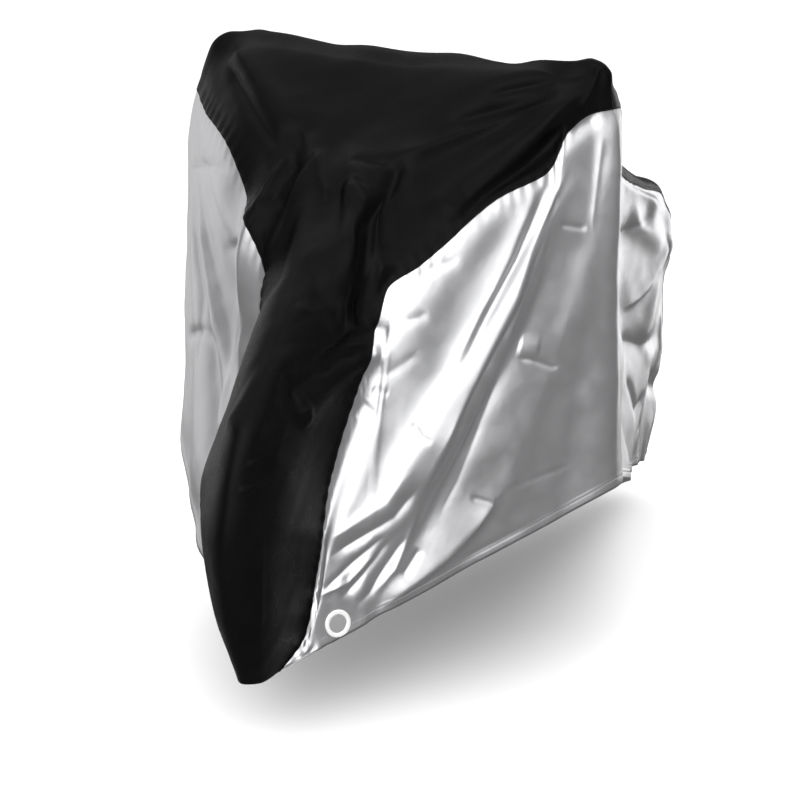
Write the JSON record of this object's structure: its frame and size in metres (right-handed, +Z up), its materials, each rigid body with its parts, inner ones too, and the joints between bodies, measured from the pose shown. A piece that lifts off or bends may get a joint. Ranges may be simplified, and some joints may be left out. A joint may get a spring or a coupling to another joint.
{
  "type": "bicycle cover",
  "caption": "Draped cloth cover for a bicycle: a black centre panel between silver side panels, an open gathered hem and an eyelet on each side of the front.",
  "frame": {"origin": "on the underside of the top, half way between the two shoulders, where the cover rests on what it covers", "axes": "+X to the front of the cover, +Y to its left side, +Z up"},
  "size_m": [1.8588, 0.8069, 0.9822],
  "materials": {
    "black_cloth": "satin",
    "silver_cloth": "satin",
    "eyelet_metal": "polished"
  },
  "bodies": {
    "root": {"centre_panel": "black_cloth", "side_front_left": "silver_cloth", "side_rear_left": "silver_cloth", "side_front_right": "silver_cloth", "side_rear_right": "silver_cloth", "hem_strip_left": "silver_cloth", "hem_strip_right": "silver_cloth", "eyelet_left": "eyelet_metal", "eyelet_right": "eyelet_metal"}
  },
  "joints": []
}
